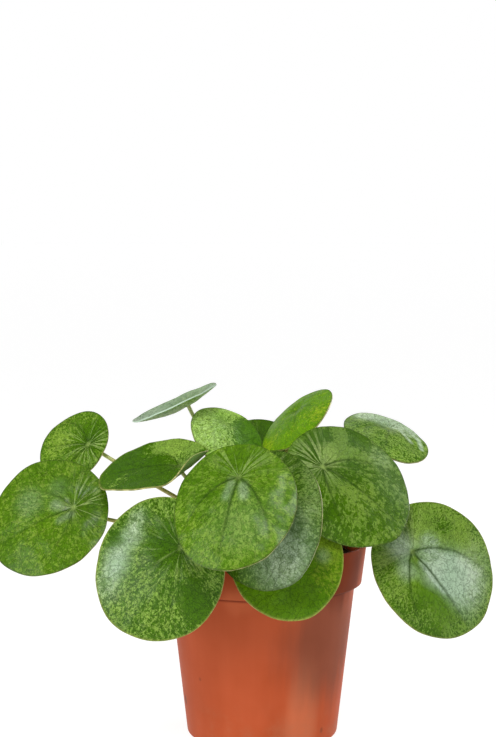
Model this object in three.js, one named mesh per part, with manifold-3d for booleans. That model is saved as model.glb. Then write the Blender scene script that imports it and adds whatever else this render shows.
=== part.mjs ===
// A small money plant with mottled round leaves, in its plastic nursery pot.
// Units are millimetres, +Z is up, and the origin is the middle of the pot's base.
// The plant's front faces -Y, with +X to the right.
import * as THREE from 'three';
import { mergeVertices } from 'three/addons/utils/BufferGeometryUtils.js';
import Module from 'manifold-3d';

// Driving dimensions of the pot
const POT_HEIGHT = 111;
const RIM_RADIUS = 60;            // outside, at the top edge
const BAND_HEIGHT = 23;           // the wider band below the rim
const BAND_FOOT_RADIUS = 57;      // outside, at the lower edge of the band
const BODY_TOP_RADIUS = 53.3;     // outside, just under the band
const BASE_RADIUS = 43;           // outside, above the rounded lower corner
const BASE_CORNER = 2.5;
const WALL = 1.4;
const ROUND_SIDES = 48;
const FLOOR = 1.8;
const DRAIN_HOLES = 8;
const DRAIN_RADIUS = 4;
const DRAIN_RING = 29;

// Driving dimensions of the soil and the stem
const CLEARANCE = 0.35;           // between pieces that touch
const SOIL_TOP = 99;
const SOIL_CROWN = 2;             // how much the soil rises towards the stem
const STEM_FOOT = new THREE.Vector3(-2, 4, 98);
const STEM_TOP = new THREE.Vector3(0, 2, 146);
const STEM_FOOT_RADIUS = 4.6;
const STEM_TOP_RADIUS = 3.4;
const STEM_DEPTH = 14;            // how deep the stem stands in the soil

// Driving dimensions shared by all the leaves
const BLADE_THICKNESS = 0.8;
const HUB_SHARE = 0.27;           // how far along the blade its stalk joins it
const EGG = 0.04;                 // how much the blade narrows towards its tip
const DIMPLE_DEPTH = 1.5;
const DIMPLE_SHARE = 0.1;         // the dimple's radius as a share of the blade's width
const STALK_RADIUS = 1.1;
const BUD_STALK_RADIUS = 0.8;
const STALK_SIDES = 8;
const SECTORS = 24;
const RINGS = [0.22, 0.6, 1];

// Every leaf: hub is where its stalk meets the blade. face is the compass angle and the height
// above the horizon, in degrees, of the way its upper side looks. turn swings its tip away from
// straight downhill. arch is how far it domes across and along. curl rolls part of the blade about
// a line: the side it lies on in degrees from the tip, its distance from the hub, and the radius,
// upwards where it is positive. foot is the height at which the stalk leaves the stem, rise lifts
// the stalk's first stretch, and drop is the length it keeps square to the blade. leave turns the
// foot round the stem, reach sets the length of the first stretch, and sway shifts the last one.
// bud marks the small new leaves at the growing tip, whose stalks are thinner.
const LEAVES = [
  { hub: [-108, -4, 131], face: [-110, 30], turn: -65, size: [75, 72], arch: [0.05, 0.18],
    foot: 104, rise: 14, drop: 20 },
  { hub: [-103, 40, 162], face: [-128, 33], turn: -80, size: [51, 48], arch: [0.12, 0.08],
    foot: 113, rise: 14, drop: 10 },
  { hub: [-47, -12, 156], face: [-127, 68], turn: -65, size: [67, 62], arch: [-0.05, 0.08],
    curl: [200, 6, 7], foot: 126, rise: 10, drop: 12 },
  { hub: [-44, 46, 185], face: [180, 66], turn: 60, size: [55, 55], arch: [-0.2, -0.2],
    foot: 134, rise: 18, drop: 24 },
  { hub: [-22, 36, 175], face: [-56, 47], turn: -20, size: [49, 46], arch: [0.08, 0.12],
    foot: 138, rise: 18, drop: 18 },
  { hub: [-2, 50, 164], face: [-88, 45], turn: 0, size: [60, 54], arch: [0.1, 0.1],
    foot: 112, rise: 4, drop: 28, leave: 78, reach: 34 },
  { hub: [21, 32, 183], face: [-157, 48], turn: 57, size: [55, 52], arch: [0.1, 0.1],
    foot: 140, rise: 16, drop: 10 },
  { hub: [33, -38, 159], face: [-56, 40], turn: 45, size: [79, 79], arch: [0.05, 0.15],
    curl: [90, 12, -35], foot: 129, rise: 12, drop: 14 },
  { hub: [-13, -92, 161], face: [-115, 28], turn: 0, size: [71, 70], arch: [0.15, 0.08],
    foot: 121, rise: 18, drop: 8, leave: -150, reach: 52, sway: [-30, 12, -4] },
  { hub: [1, -74, 153], face: [-118, 14], turn: 8, size: [76, 69], arch: [0.05, 0.2],
    foot: 124, rise: 24, drop: 14 },
  { hub: [11, -56, 126], face: [-80, 24], turn: 2, size: [68, 64], arch: [0.1, 0.1],
    foot: 108, rise: 16, drop: 12 },
  { hub: [-44, -71, 120], face: [-115, 18], turn: -46, size: [78, 80], arch: [0.15, 0.1],
    foot: 103, rise: 16, drop: 14 },
  { hub: [84, -22, 109], face: [-62, 16], turn: 50, size: [84, 76], arch: [0.05, 0.2],
    foot: 104, rise: 26, drop: 10 },
  { hub: [76, 50, 170], face: [-46, 63], turn: -50, size: [57, 54], arch: [0.1, 0.05],
    foot: 115, rise: 22, drop: 16 },
  { hub: [42, 64, 162], face: [-60, 55], turn: 0, size: [38, 38], arch: [0.1, 0.1],
    foot: 119, rise: 12, drop: 20 },
  { hub: [-8, 78, 163], face: [92, 50], turn: 10, size: [56, 54], arch: [0.1, 0.12],
    foot: 116, rise: 6, drop: 14, leave: 96, reach: 30 },
  { hub: [-31, 80, 121], face: [116, 30], turn: -5, size: [64, 60], arch: [0.1, 0.12],
    foot: 107.5, rise: 20, drop: 10 },
  { hub: [30, 86, 130], face: [64, 28], turn: 10, size: [66, 62], arch: [0.1, 0.12],
    foot: 107, rise: 20, drop: 12 },
  { hub: [70, 44, 129], face: [30, 32], turn: -10, size: [60, 54], arch: [0.1, 0.12],
    foot: 111, rise: 20, drop: 12 },
  { hub: [-60, 60, 104], face: [138, 15], turn: 0, size: [66, 64], arch: [0.1, 0.12],
    foot: 103, rise: 36, drop: 8 },
  { hub: [0, 100, 92], face: [92, 12], turn: 0, size: [62, 60], arch: [0.1, 0.12],
    foot: 103, rise: 20, drop: 6, leave: 92, reach: 40, sway: [0, -10, 28] },
  { hub: [-10, -2, 148], face: [-150, 60], turn: 0, size: [20, 18], arch: [0.1, 0.1],
    foot: 142, rise: 3, drop: 4, bud: true },
  { hub: [7, -1, 153], face: [-20, 50], turn: 0, size: [17, 15], arch: [0.1, 0.1],
    foot: 141, rise: 4, drop: 4, bud: true },
  { hub: [0, 12, 149], face: [90, 40], turn: 0, size: [13, 11], arch: [0.1, 0.1],
    foot: 143, rise: 2, drop: 4, bud: true },
];

// Finishes
const TERRACOTTA = new THREE.MeshStandardMaterial({ color: 0xb9552f, roughness: 0.45, metalness: 0 });
const POTTING_MIX = new THREE.MeshStandardMaterial({ color: 0x33231a, roughness: 0.95, metalness: 0 });
const BARK = new THREE.MeshStandardMaterial({ color: 0x6e5a3c, roughness: 0.8, metalness: 0 });
const LEAF_GREEN = new THREE.MeshStandardMaterial({ color: 0x5f8f35, roughness: 0.35, metalness: 0 });
const STALK_GREEN = new THREE.MeshStandardMaterial({ color: 0x8a8448, roughness: 0.5, metalness: 0 });

const wasm = await Module();
wasm.setup();

// A closed geometry as a solid that can be joined and cut.
function toSolid(geometry) {
  const bare = geometry.clone();
  bare.deleteAttribute('normal');
  bare.deleteAttribute('uv');
  const merged = mergeVertices(bare, 1e-4);
  const vertProperties = new Float32Array(merged.attributes.position.array);
  const triVerts = new Uint32Array(merged.index.array);
  return new wasm.Manifold(new wasm.Mesh({ numProp: 3, vertProperties, triVerts }));
}

// The geometry of a solid.
function toGeometry(solid) {
  const mesh = solid.getMesh();
  const geometry = new THREE.BufferGeometry();
  geometry.setAttribute('position', new THREE.BufferAttribute(new Float32Array(mesh.vertProperties), 3));
  geometry.setIndex(new THREE.BufferAttribute(new Uint32Array(mesh.triVerts), 1));
  geometry.computeVertexNormals();
  return geometry;
}

// A body of revolution about Z, from [radius, height] pairs.
function turned(profile, segments) {
  const points = profile.map(([radius, height]) => new THREE.Vector2(radius, height));
  return new THREE.LatheGeometry(points, segments).rotateX(Math.PI / 2);
}

// A round bar between two heights, on an axis that may lean.
function bar(foot, top, footRadius, topRadius, sides) {
  const along = new THREE.Vector3().subVectors(top, foot);
  const geometry = new THREE.CylinderGeometry(topRadius, footRadius, along.length(), sides, 1);
  geometry.translate(0, along.length() / 2, 0);
  const turn = new THREE.Quaternion().setFromUnitVectors(new THREE.Vector3(0, 1, 0), along.normalize());
  return geometry.applyQuaternion(turn).translate(foot.x, foot.y, foot.z);
}

function named(name, geometry, material) {
  const mesh = new THREE.Mesh(geometry, material);
  mesh.name = name;
  return mesh;
}

// The pot's outside radius at a height, on the body below the band.
function bodyRadius(height) {
  const share = (height - BASE_CORNER) / (POT_HEIGHT - BAND_HEIGHT - BASE_CORNER);
  return BASE_RADIUS + share * (BODY_TOP_RADIUS - BASE_RADIUS);
}

// The tapered pot with its band, open at the top and drained at the base.
function makePot() {
  const bandFoot = POT_HEIGHT - BAND_HEIGHT;
  const step = BAND_FOOT_RADIUS - BODY_TOP_RADIUS;
  const profile = [
    [0, 0],
    [BASE_RADIUS - BASE_CORNER, 0],
    [BASE_RADIUS - BASE_CORNER * 0.3, BASE_CORNER * 0.3],
    [BASE_RADIUS, BASE_CORNER],
    [BODY_TOP_RADIUS, bandFoot],
    [BAND_FOOT_RADIUS - 0.8, bandFoot],
    [BAND_FOOT_RADIUS, bandFoot + 0.8],
    [RIM_RADIUS, POT_HEIGHT - 0.5],
    [RIM_RADIUS - 0.5, POT_HEIGHT],
    [RIM_RADIUS - WALL, POT_HEIGHT],
    [BAND_FOOT_RADIUS - WALL, bandFoot + step],
    [BODY_TOP_RADIUS - WALL, bandFoot],
    [bodyRadius(FLOOR + 2) - WALL, FLOOR + 2],
    [bodyRadius(FLOOR) - WALL - 2, FLOOR],
    [0, FLOOR],
  ];
  let pot = toSolid(turned(profile, ROUND_SIDES));
  for (let i = 0; i < DRAIN_HOLES; i += 1) {
    const angle = (2 * Math.PI * (i + 0.5)) / DRAIN_HOLES;
    const hole = new THREE.CylinderGeometry(DRAIN_RADIUS, DRAIN_RADIUS, 3 * FLOOR, 12);
    hole.rotateX(Math.PI / 2);
    hole.translate(DRAIN_RING * Math.cos(angle), DRAIN_RING * Math.sin(angle), FLOOR / 2);
    pot = pot.subtract(toSolid(hole));
  }
  return named('pot', toGeometry(pot), TERRACOTTA);
}

// How high the lumpy top of the soil stands at a place.
function soilHeight(x, y) {
  const lumps = Math.sin(x * 0.31 + 1) * Math.cos(y * 0.27) + 0.6 * Math.sin(x * 0.17 - y * 0.4 + 2);
  const mound = SOIL_CROWN * Math.exp(-(x * x + y * y) / 800);
  return SOIL_TOP + mound + 0.5 * lumps;
}

// The potting mix, which fills the pot to a little below its rim.
function makeSoil() {
  const bandFoot = POT_HEIGHT - BAND_HEIGHT;
  const step = BAND_FOOT_RADIUS - BODY_TOP_RADIUS;
  const inset = WALL + CLEARANCE;
  const taper = (RIM_RADIUS - BAND_FOOT_RADIUS) / BAND_HEIGHT;
  const edge = BAND_FOOT_RADIUS + taper * (SOIL_TOP - bandFoot) - inset;
  const profile = [
    [0, FLOOR + CLEARANCE],
    [bodyRadius(FLOOR) - inset - 2.4, FLOOR + CLEARANCE],
    [bodyRadius(FLOOR + 3) - inset, FLOOR + 3],
    [BODY_TOP_RADIUS - inset, bandFoot + CLEARANCE],
    [BAND_FOOT_RADIUS - inset, bandFoot + step + CLEARANCE],
    [edge - 0.3, SOIL_TOP - 1],
    [edge - 3, SOIL_TOP],
  ];
  for (const radius of [42, 32, 22, 12, 0]) {
    profile.push([radius, SOIL_TOP]);
  }
  const geometry = turned(profile, ROUND_SIDES);
  const place = geometry.attributes.position;
  for (let i = 0; i < place.count; i += 1) {
    if (Math.abs(place.getZ(i) - SOIL_TOP) < 0.01) {
      place.setZ(i, soilHeight(place.getX(i), place.getY(i)));
    }
  }
  const deep = stemPoint(SOIL_TOP - STEM_DEPTH - CLEARANCE);
  const above = stemPoint(SOIL_TOP + 6);
  const radius = STEM_FOOT_RADIUS + CLEARANCE + 0.3;
  const hole = bar(deep, above, radius, radius, 16);
  return named('soil', toGeometry(toSolid(geometry).subtract(toSolid(hole))), POTTING_MIX);
}

// The middle of the stem at a height.
function stemPoint(height) {
  const share = (height - STEM_FOOT.z) / (STEM_TOP.z - STEM_FOOT.z);
  return new THREE.Vector3().lerpVectors(STEM_FOOT, STEM_TOP, share);
}

function stemRadius(height) {
  const share = Math.max(0, (height - STEM_FOOT.z) / (STEM_TOP.z - STEM_FOOT.z));
  return THREE.MathUtils.lerp(STEM_FOOT_RADIUS, STEM_TOP_RADIUS, share);
}

// The short trunk, which ends in a blunt growing tip.
function makeStem() {
  const foot = stemPoint(SOIL_TOP - STEM_DEPTH);
  const buried = bar(foot, STEM_FOOT, STEM_FOOT_RADIUS, STEM_FOOT_RADIUS, 14);
  const trunk = bar(STEM_FOOT, STEM_TOP, STEM_FOOT_RADIUS, STEM_TOP_RADIUS, 14);
  const tip = bar(STEM_TOP, stemPoint(STEM_TOP.z + 3), STEM_TOP_RADIUS, 1.4, 14);
  const solid = toSolid(buried).add(toSolid(trunk)).add(toSolid(tip));
  return named('stem', toGeometry(solid), BARK);
}

// The three directions of a leaf: across the blade, along it to the tip, and out of its upper side.
function leafAxes(leaf) {
  const compass = THREE.MathUtils.degToRad(leaf.face[0]);
  const height = THREE.MathUtils.degToRad(leaf.face[1]);
  const turn = THREE.MathUtils.degToRad(leaf.turn);
  const out = new THREE.Vector3(
    Math.cos(height) * Math.cos(compass),
    Math.cos(height) * Math.sin(compass),
    Math.sin(height),
  );
  const downhill = new THREE.Vector3(
    Math.sin(height) * Math.cos(compass),
    Math.sin(height) * Math.sin(compass),
    -Math.cos(height),
  );
  const level = new THREE.Vector3().crossVectors(out, downhill);
  const along = downhill.clone().multiplyScalar(Math.cos(turn)).addScaledVector(level, Math.sin(turn));
  const across = new THREE.Vector3().crossVectors(along, out);
  return { across, along, out };
}

// A point of the blade's middle layer, in the leaf's own directions with the hub at zero.
// share runs from 0 at the hub to 1 at the edge, and angle runs round the blade.
function bladePoint(leaf, share, angle) {
  const [length, width] = leaf.size;
  const middle = length * (0.5 - HUB_SHARE);
  let x = share * (width / 2) * Math.cos(angle) * (1 - EGG * Math.sin(angle));
  let y = share * (middle + (length / 2) * Math.sin(angle));
  const [archAcross, archAlong] = leaf.arch;
  const sag = (v, half, arch) => (arch * v * v) / half;
  let z = sag(middle, length / 2, archAlong) - sag(y - middle, length / 2, archAlong);
  z -= sag(x, width / 2, archAcross);
  z += DIMPLE_DEPTH * (1 - Math.exp(-(x * x + y * y) / (DIMPLE_SHARE * width) ** 2));
  if (leaf.curl) {
    const [side, start, radius] = leaf.curl;
    const dx = Math.sin(THREE.MathUtils.degToRad(side));
    const dy = Math.cos(THREE.MathUtils.degToRad(side));
    const beyond = Math.max(0, x * dx + y * dy - start);
    const roll = beyond / Math.abs(radius);
    const shift = Math.abs(radius) * Math.sin(roll) - beyond;
    x += dx * shift;
    y += dy * shift;
    z += radius * (1 - Math.cos(roll));
  }
  return new THREE.Vector3(x, y, z);
}

// The blade's upper or lower face at a place, half a thickness away from its middle layer.
function facePoint(leaf, share, angle, offset) {
  const step = 1e-3;
  const here = bladePoint(leaf, share, angle);
  const spin = bladePoint(leaf, Math.max(share, 0.02), angle + step);
  const back = bladePoint(leaf, Math.max(share, 0.02), angle - step);
  const outer = bladePoint(leaf, share + step, angle);
  const inner = bladePoint(leaf, share - step, angle);
  const round = new THREE.Vector3().subVectors(spin, back);
  const radial = new THREE.Vector3().subVectors(outer, inner);
  const normal = new THREE.Vector3().crossVectors(radial, round).normalize();
  return here.addScaledVector(share === 0 ? new THREE.Vector3(0, 0, 1) : normal, offset);
}

// A thin closed blade, its two faces split into triangles alike.
function bladeGeometry(leaf) {
  const { across, along, out } = leafAxes(leaf);
  const toWorld = new THREE.Matrix4().makeBasis(across, along, out).setPosition(...leaf.hub);
  const points = [];
  const half = BLADE_THICKNESS / 2;
  for (const offset of [half, -half]) {
    points.push(facePoint(leaf, 0, 0, offset));
    for (const share of RINGS) {
      for (let i = 0; i < SECTORS; i += 1) {
        points.push(facePoint(leaf, share, (2 * Math.PI * i) / SECTORS, offset));
      }
    }
  }
  const layer = 1 + RINGS.length * SECTORS;
  const ring = (row, i) => 1 + row * SECTORS + (i % SECTORS);
  const faces = [];
  const both = (a, b, c) => faces.push(a, b, c, layer + a, layer + c, layer + b);
  for (let i = 0; i < SECTORS; i += 1) {
    both(0, ring(0, i), ring(0, i + 1));
    for (let row = 0; row + 1 < RINGS.length; row += 1) {
      both(ring(row, i), ring(row + 1, i), ring(row + 1, i + 1));
      both(ring(row, i), ring(row + 1, i + 1), ring(row, i + 1));
    }
    const a = ring(RINGS.length - 1, i);
    const b = ring(RINGS.length - 1, i + 1);
    faces.push(a, layer + a, layer + b, a, layer + b, b);
  }
  const geometry = new THREE.BufferGeometry();
  const flat = points.flatMap((point) => point.applyMatrix4(toWorld).toArray());
  geometry.setAttribute('position', new THREE.Float32BufferAttribute(flat, 3));
  geometry.setIndex(faces);
  geometry.computeVertexNormals();
  return geometry;
}

// The stalk's path, from the side of the stem to just under the hub of the blade. Where it
// leaves or arrives at a slant, it stops short by as much as its tilted end reaches forward.
function stalkPath(leaf) {
  const { out } = leafAxes(leaf);
  const radius = leaf.bud ? BUD_STALK_RADIUS : STALK_RADIUS;
  const hub = new THREE.Vector3(...leaf.hub);
  const middle = stemPoint(leaf.foot);
  const away = new THREE.Vector3().subVectors(hub, middle).setZ(0);
  let reach = 0.35 * away.length();
  if (leaf.leave !== undefined) {
    const angle = THREE.MathUtils.degToRad(leaf.leave);
    away.set(Math.cos(angle), Math.sin(angle), 0);
    reach = leaf.reach;
  }
  away.normalize();
  const slant = leaf.rise / Math.hypot(leaf.rise, reach);
  const gap = CLEARANCE + radius * slant;
  const foot = middle.clone().addScaledVector(away, stemRadius(leaf.foot) + gap);
  const firstHandle = foot.clone().addScaledVector(away, reach);
  firstHandle.z += leaf.rise;
  const handle = out.clone().multiplyScalar(-leaf.drop);
  if (leaf.sway) {
    handle.add(new THREE.Vector3(...leaf.sway));
  }
  const tilt = new THREE.Vector3().crossVectors(out, handle).length() / handle.length();
  const below = BLADE_THICKNESS / 2 + CLEARANCE + radius * tilt;
  const end = hub.clone().addScaledVector(out, -below);
  const lastHandle = end.clone().add(handle);
  return new THREE.CubicBezierCurve3(foot, firstHandle, lastHandle, end);
}

// A round stalk of even thickness along its path.
function stalkGeometry(leaf) {
  const radius = leaf.bud ? BUD_STALK_RADIUS : STALK_RADIUS;
  const section = new THREE.Shape();
  section.absarc(0, 0, radius, 0, 2 * Math.PI, false);
  return new THREE.ExtrudeGeometry(section, {
    curveSegments: STALK_SIDES / 2,
    steps: leaf.bud ? 4 : 10,
    extrudePath: stalkPath(leaf),
  });
}

const plant = new THREE.Group();
plant.name = 'potted_plant';
plant.add(makePot(), makeSoil(), makeStem());
LEAVES.forEach((leaf, i) => {
  const number = String(i + 1).padStart(2, '0');
  plant.add(named(`leaf_blade_${number}`, bladeGeometry(leaf), LEAF_GREEN));
  plant.add(named(`leaf_stalk_${number}`, stalkGeometry(leaf), STALK_GREEN));
});

export default plant;
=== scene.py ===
# %% [markdown]
# # A young money plant in its nursery pot
#
# The CAD model of this plant is right in its sizes, but plain: every leaf is a faceted plate
# and every stalk a rod with eight sides. This lesson dresses it. Each piece of the real plant is
# modelled again, finer, on the spot where its CAD node stands, and gets a finish of its own.
#
# Lengths are written in millimetres, as on a drawing, and multiplied by MM on the way in,
# because the scene itself is in metres. The origin is the middle of the pot's base, +Z is up
# and the plant's front faces -Y.

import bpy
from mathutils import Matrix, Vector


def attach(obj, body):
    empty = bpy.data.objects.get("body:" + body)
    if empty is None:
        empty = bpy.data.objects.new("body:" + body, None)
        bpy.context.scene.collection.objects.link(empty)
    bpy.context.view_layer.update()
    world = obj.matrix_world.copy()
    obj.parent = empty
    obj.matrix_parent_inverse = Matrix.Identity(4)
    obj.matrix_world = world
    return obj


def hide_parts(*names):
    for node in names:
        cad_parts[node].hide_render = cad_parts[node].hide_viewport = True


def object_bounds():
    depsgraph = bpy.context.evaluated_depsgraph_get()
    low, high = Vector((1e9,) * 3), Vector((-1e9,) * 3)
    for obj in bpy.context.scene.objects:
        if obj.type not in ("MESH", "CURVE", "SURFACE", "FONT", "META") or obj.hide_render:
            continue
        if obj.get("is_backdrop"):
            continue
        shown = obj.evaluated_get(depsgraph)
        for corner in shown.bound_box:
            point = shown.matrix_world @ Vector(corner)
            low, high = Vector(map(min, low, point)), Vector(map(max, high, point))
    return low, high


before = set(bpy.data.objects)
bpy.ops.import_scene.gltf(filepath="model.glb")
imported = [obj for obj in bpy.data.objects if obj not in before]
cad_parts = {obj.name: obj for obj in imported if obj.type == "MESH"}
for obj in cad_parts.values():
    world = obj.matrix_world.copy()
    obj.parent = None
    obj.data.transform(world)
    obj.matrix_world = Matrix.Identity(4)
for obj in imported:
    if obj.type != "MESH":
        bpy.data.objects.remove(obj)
cad_low, cad_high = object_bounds()
print("CAD nodes:", len(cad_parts), "box:", [round(v, 4) for v in (*cad_low, *cad_high)])

# %% Modules and units
import math
import random

import bmesh
import bpy
from mathutils import Matrix, Vector, noise

MM = 0.001
FULL_TURN = 2 * math.pi
scene = bpy.context.scene

# %% [markdown]
# ## The camera
#
# The plant was photographed from about a metre away with a long lens, from a little above its
# leaves, looking slightly down. A long lens keeps the pot's sides nearly parallel. The camera
# could be found by trying, but the pot gives it: its rim is a circle of known size, so the
# width of that circle gives the distance and its flatness gives the height.

# %% Place the camera
CAMERA_PLACE = Vector((-8.2, -990, 288.5)) * MM
CAMERA_TILT = 85.5      # degrees from looking straight down
LENS = 85

camera_data = bpy.data.cameras.new("camera")
camera_data.lens = LENS
camera_data.sensor_width = 36
camera = bpy.data.objects.new("camera", camera_data)
camera.location = CAMERA_PLACE
camera.rotation_euler = (math.radians(CAMERA_TILT), 0, 0)
scene.collection.objects.link(camera)
scene.camera = camera
print("camera at", [round(v, 4) for v in camera.location])

# %% [markdown]
# ## Helpers for meshes
#
# Every piece is a bmesh that ends up as an object at the origin, with its place in its mesh.
# The piece then rides on the body of the plant, and the CAD node that it stands for is hidden.
# Nearly all of them start in one of two ways: a line that is spun round, or a circle that is
# extruded.

# %% Mesh helpers
def finish_piece(mesh_in_work, name, materials, nodes=(), sharp=40):
    """Makes an object of the bmesh, smooth but for edges sharper than so many degrees."""
    mesh = bpy.data.meshes.new(name)
    mesh_in_work.to_mesh(mesh)
    mesh_in_work.free()
    mesh.shade_smooth()
    mesh.set_sharp_from_angle(angle=math.radians(sharp))
    for material in materials:
        mesh.materials.append(material)
    piece = bpy.data.objects.new(name, mesh)
    scene.collection.objects.link(piece)
    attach(piece, "root")
    if nodes:
        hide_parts(*nodes)
    return piece


def triangles(piece):
    return sum(len(face.vertices) - 2 for face in piece.data.polygons)


def spun(points, steps, merge):
    """The surface that a line of points sweeps when it is spun once round the z axis."""
    made = bmesh.new()
    line = [made.verts.new(point) for point in points]
    for first, second in zip(line, line[1:]):
        made.edges.new((first, second))
    bmesh.ops.spin(made, geom=made.verts[:] + made.edges[:], cent=(0, 0, 0), axis=(0, 0, 1),
                   angle=FULL_TURN, steps=steps, use_merge=True, use_duplicate=False)
    bmesh.ops.remove_doubles(made, verts=made.verts, dist=merge)
    return made


def stack_of_rings(made, sides, count):
    """Extrudes a closed circle upwards ring by ring. The rings still have to be put in place."""
    bmesh.ops.create_circle(made, cap_ends=True, radius=1, segments=sides)
    rings = [list(made.verts)]
    top = made.faces[:]
    for _ in range(count - 1):
        new = bmesh.ops.extrude_face_region(made, geom=top)["geom"]
        top = [item for item in new if isinstance(item, bmesh.types.BMFace)]
        rings.append([item for item in new if isinstance(item, bmesh.types.BMVert)])
    return rings


# %% [markdown]
# ## Helpers for materials
#
# A material is a small network of nodes. Writing each node and link out takes many lines, so
# one helper adds a node, and a few others name the steps that come back in every finish:
# a noise, a blend of two colours, a tint, a bit of arithmetic and a soft step.

# %% Node helpers
def paint(code):
    """A colour as painters write it, such as 6a8f2c, in the linear values that nodes take."""
    values = [int(code[i:i + 2], 16) / 255 for i in (0, 2, 4)]
    linear = [v / 12.92 if v <= 0.04045 else ((v + 0.055) / 1.055) ** 2.4 for v in values]
    return (*linear, 1)


def add_node(tree, kind, inputs=None, **settings):
    """Adds a node. An input is a value, or a socket to link from."""
    node = tree.nodes.new(kind)
    for name, value in settings.items():
        setattr(node, name, value)
    for name, value in (inputs or {}).items():
        if isinstance(value, bpy.types.NodeSocket):
            tree.links.new(value, node.inputs[name])
        else:
            node.inputs[name].default_value = value
    return node


def noise_of(tree, place, scale, detail=2, roughness=0.55, distortion=0):
    inputs = {"Vector": place, "Scale": scale, "Detail": detail,
              "Roughness": roughness, "Distortion": distortion}
    return add_node(tree, "ShaderNodeTexNoise", inputs).outputs["Fac"]


def arithmetic(tree, operation, first, second=0.0, third=0.0, limit=False):
    """One step of arithmetic. MULTIPLY_ADD gives first times second plus third."""
    inputs = {0: first, 1: second, 2: third}
    node = add_node(tree, "ShaderNodeMath", inputs, operation=operation)
    node.use_clamp = limit
    return node.outputs[0]


def times(tree, first, second, limit=False):
    return arithmetic(tree, "MULTIPLY", first, second, limit=limit)


def vector_step(tree, operation, first, second=None):
    """One step of arithmetic with vectors. SCALE takes one number as the second value."""
    inputs = {0: first}
    if second is not None:
        inputs["Scale" if operation == "SCALE" else 1] = second
    node = add_node(tree, "ShaderNodeVectorMath", inputs, operation=operation)
    return node.outputs["Value" if operation == "LENGTH" else "Vector"]


def stretched(tree, place, factors):
    return vector_step(tree, "MULTIPLY", place, factors)


def soft_step(tree, value, low, high):
    """0 below low, 1 above high and a smooth ramp between. It falls where low is the larger."""
    inputs = {"Value": value, "From Min": low, "From Max": high}
    node = add_node(tree, "ShaderNodeMapRange", inputs, interpolation_type="SMOOTHSTEP")
    return node.outputs["Result"]


def blend_colours(tree, share, first, second, way="MIX"):
    node = add_node(tree, "ShaderNodeMix", {"Factor": share}, data_type="RGBA", blend_type=way)
    for socket, value in ((node.inputs[6], first), (node.inputs[7], second)):
        if isinstance(value, bpy.types.NodeSocket):
            tree.links.new(value, socket)
        else:
            socket.default_value = value
    return node.outputs[2]


def two_tone(tree, value, low, high, first, second):
    """The first colour where the value is below low, the second where it is above high."""
    return blend_colours(tree, soft_step(tree, value, low, high), first, second)


def tinted(tree, colour, tint, share=1.0):
    return blend_colours(tree, share, colour, tint, way="MULTIPLY")


def attribute_of(tree, name):
    return add_node(tree, "ShaderNodeAttribute", attribute_name=name).outputs["Vector"]


def parts_of(tree, vector):
    """X, Y and Z of a vector."""
    return add_node(tree, "ShaderNodeSeparateXYZ", {"Vector": vector}).outputs


def three_of(tree, name):
    """The three numbers that an attribute of the mesh carries."""
    return parts_of(tree, attribute_of(tree, name))


def object_place(tree):
    return add_node(tree, "ShaderNodeTexCoord").outputs["Object"]


def bump_of(tree, height, depth, strength=1.0):
    """A normal for a relief whose height runs from 0 to 1 over so many metres."""
    inputs = {"Height": height, "Distance": depth, "Strength": strength}
    return add_node(tree, "ShaderNodeBump", inputs).outputs["Normal"]


def new_finish(name, **sockets):
    """A material with one Principled shader, whose plain values are set on its own sockets."""
    material = bpy.data.materials.new(name)
    material.use_nodes = True
    shader = material.node_tree.nodes["Principled BSDF"]
    for socket, value in sockets.items():
        shader.inputs[socket.replace("_", " ")].default_value = value
    return material, material.node_tree, shader


def connect(tree, shader, **sources):
    for socket, source in sources.items():
        tree.links.new(source, shader.inputs[socket.replace("_", " ")])


# %% [markdown]
# ## Studio
#
# The photograph has no background at all: the plant stands in plain white. A world that is white
# near the horizon and a wide pale floor that is lit to white give that. A real studio is darker
# overhead, and that matters: a world that is white all over would lay a grey veil over the dark
# leaves. So the world fades with height, and the light comes from soft boxes on the left, in
# front and on the right. A leaf is satin, and shows a broad silver sheen where it mirrors one.
# On some leaves a silvery sheen is also painted into the colour, as a painted highlight.

# %% World and floor
WHITE = (1, 1, 1, 1)
WORLD_LOW = 1.0         # strength near the horizon
WORLD_HIGH = 0.26       # strength overhead
WORLD_FADE = (0.36, 0.2)    # how steeply one looks up where it is darkest, and where still white
FLOOR_RADIUS = 40000
FLOOR_GREY = (0.25, 0.25, 0.25, 1)
FLOOR_GLOW = 0.88       # with the soft boxes, this takes the floor to white

world = bpy.data.worlds.new("white_studio")
world.use_nodes = True
sky = world.node_tree
background = sky.nodes["Background"]
background.inputs["Color"].default_value = WHITE
heading = parts_of(sky, add_node(sky, "ShaderNodeTexCoord").outputs["Generated"])
low_down = soft_step(sky, heading["Z"], *WORLD_FADE)
strength = arithmetic(sky, "MULTIPLY_ADD", low_down, WORLD_LOW - WORLD_HIGH, WORLD_HIGH)
sky.links.new(strength, background.inputs["Strength"])
scene.world = world
scene.view_settings.view_transform = "Standard"

floor_finish, _, _ = new_finish("pale_floor", Base_Color=FLOOR_GREY, Roughness=0.9,
                                Emission_Color=WHITE, Emission_Strength=FLOOR_GLOW)
floor_disc = bmesh.new()
bmesh.ops.create_circle(floor_disc, cap_ends=True, radius=FLOOR_RADIUS * MM, segments=96)
floor_mesh = bpy.data.meshes.new("floor")
floor_disc.to_mesh(floor_mesh)
floor_disc.free()
floor_mesh.materials.append(floor_finish)
floor = bpy.data.objects.new("floor", floor_mesh)
scene.collection.objects.link(floor)
floor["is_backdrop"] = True

# %% Soft boxes
AIM = Vector((0, 0, 110)) * MM


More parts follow.
